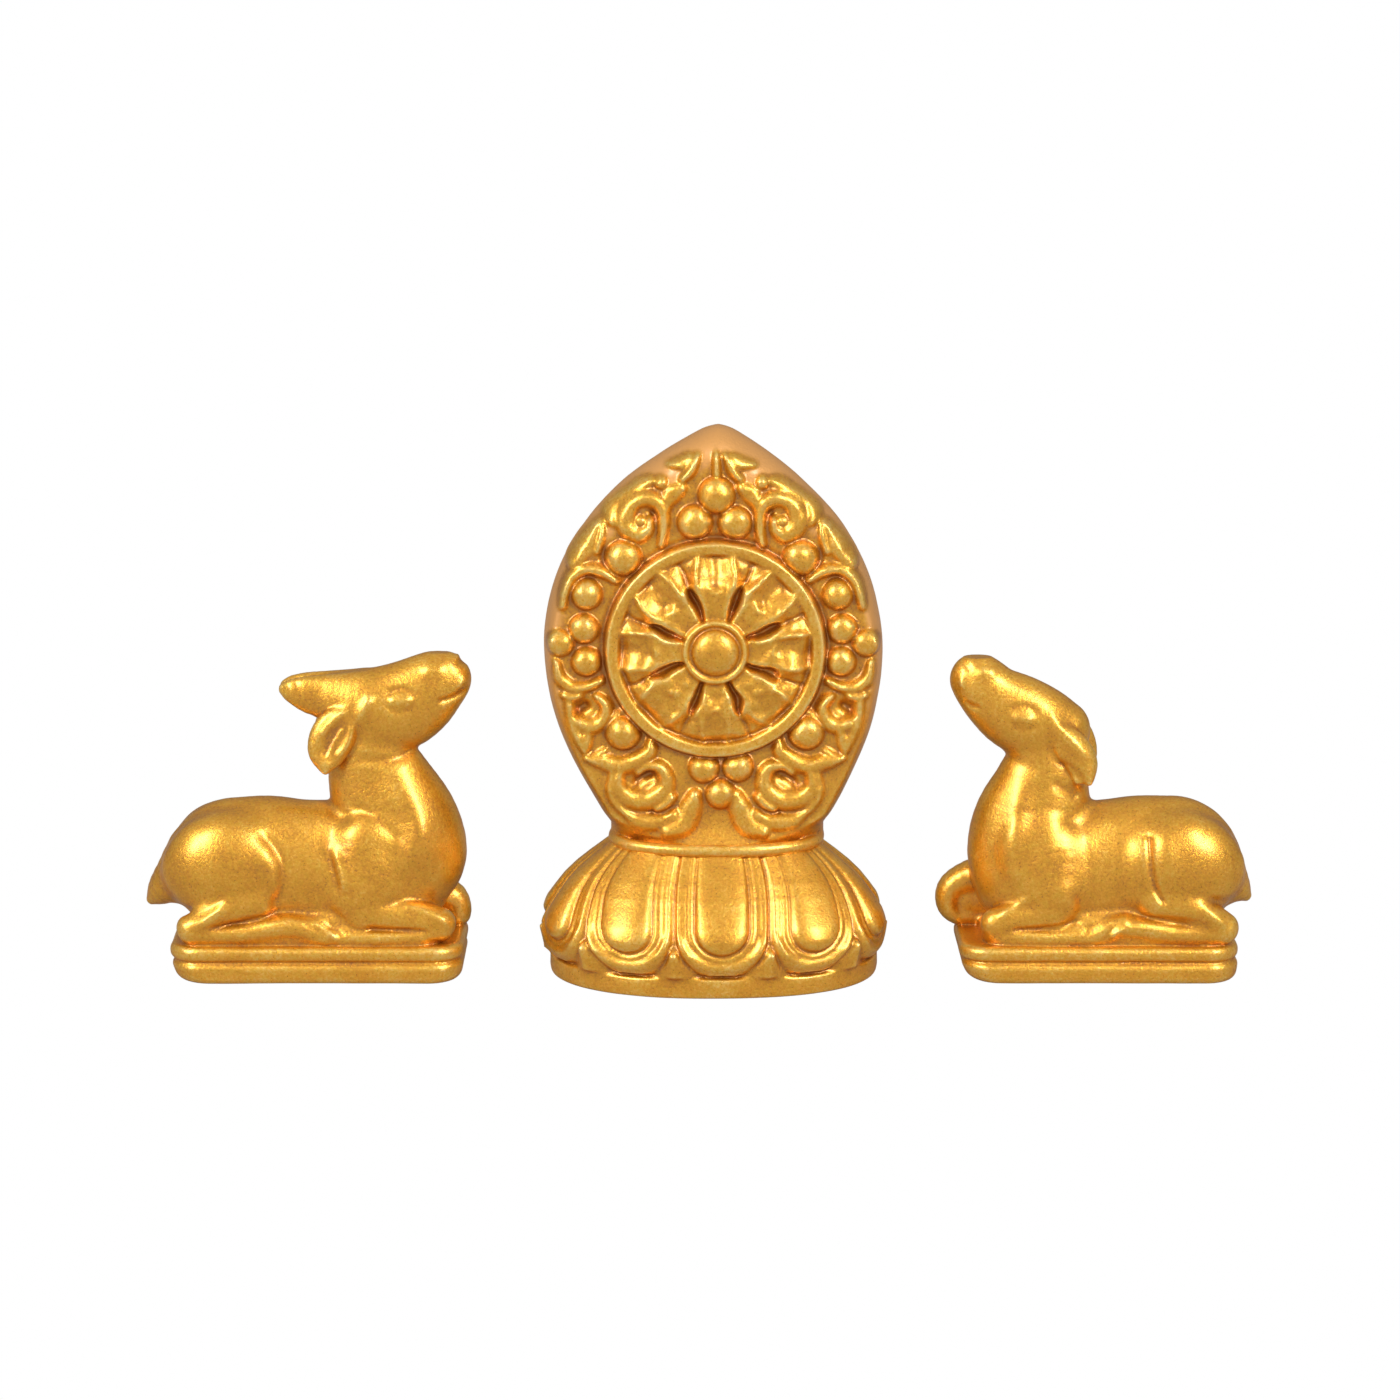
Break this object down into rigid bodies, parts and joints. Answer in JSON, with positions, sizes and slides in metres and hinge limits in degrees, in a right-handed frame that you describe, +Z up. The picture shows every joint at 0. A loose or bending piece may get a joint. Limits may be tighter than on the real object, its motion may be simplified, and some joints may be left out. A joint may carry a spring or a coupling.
{
  "type": "dharma wheel with deer",
  "caption": "Altar set: dharma wheel in a flame-shaped frame on a lotus base, between a lying buck and a lying doe on stepped plinths.",
  "frame": {"origin": "middle of the underside of the wheel's lotus base, on the surface that all three pieces stand on", "axes": "+Z up, +X to the viewer's right towards the doe, the front with the wheel faces -Y"},
  "size_m": [0.1782, 0.0386, 0.089],
  "materials": {
    "gold_paint": "satin gold paint over a soft casting, paler on worn high spots and red-brown in the hollows"
  },
  "bodies": {
    "root": {"dharma_wheel": "gold_paint", "buck": "gold_paint", "doe": "gold_paint"}
  },
  "joints": []
}
